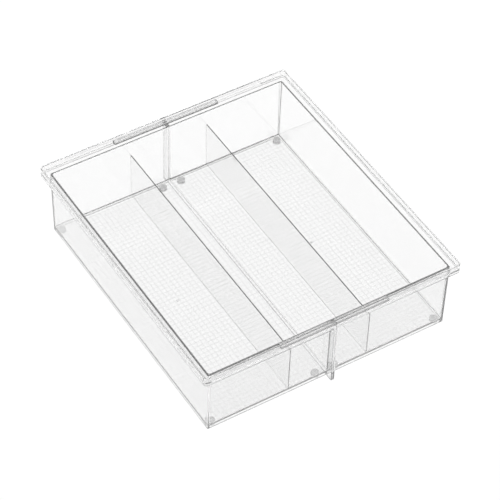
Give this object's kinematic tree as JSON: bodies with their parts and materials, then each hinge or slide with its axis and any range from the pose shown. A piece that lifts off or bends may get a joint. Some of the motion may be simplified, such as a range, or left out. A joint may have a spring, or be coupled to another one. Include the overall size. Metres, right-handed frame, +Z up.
{
  "type": "drawer organizer insert",
  "caption": "Clear plastic drawer organizer insert: two open-sided trays meet at a seam, share a middle compartment and slide apart along rails in their rims.",
  "frame": {"origin": "on the surface that the feet stand on, under the middle of the seam between the two trays", "axes": "+X to the right across both trays, +Y to the back along the dividers, +Z up"},
  "size_m": [0.308, 0.345, 0.0925],
  "materials": {
    "tray": "clear injection-moulded polystyrene, polished walls and a fine-gridded floor",
    "divider": "clear moulded polystyrene sheet, polished",
    "rail": "clear moulded polystyrene strip, polished",
    "foot": "translucent soft clear elastomer pad, satin"
  },
  "bodies": {
    "left_unit": {"left_tray": "tray", "left_divider": "divider", "left_foot_front_outer": "foot", "left_foot_back_outer": "foot", "left_foot_front_inner": "foot", "left_foot_back_inner": "foot"},
    "right_unit": {"right_tray": "tray", "right_divider": "divider", "right_foot_front_outer": "foot", "right_foot_back_outer": "foot", "right_foot_front_inner": "foot", "right_foot_back_inner": "foot"},
    "front_link": {"front_rail": "rail"},
    "back_link": {"back_rail": "rail"}
  },
  "joints": [
    {"name": "tray_slide", "type": "slide", "parent": "left_unit", "child": "right_unit", "axis": [1, 0, 0], "range_m": [0, 0.1]},
    {"name": "front_rail_slide", "type": "slide", "parent": "left_unit", "child": "front_link", "axis": [1, 0, 0], "range_m": [0, 0.05]},
    {"name": "back_rail_slide", "type": "slide", "parent": "left_unit", "child": "back_link", "axis": [1, 0, 0], "range_m": [0, 0.05]}
  ],
  "couplings": [
    {"joint": "front_rail_slide", "follows": "tray_slide", "ratio": 0.5},
    {"joint": "back_rail_slide", "follows": "tray_slide", "ratio": 0.5}
  ]
}
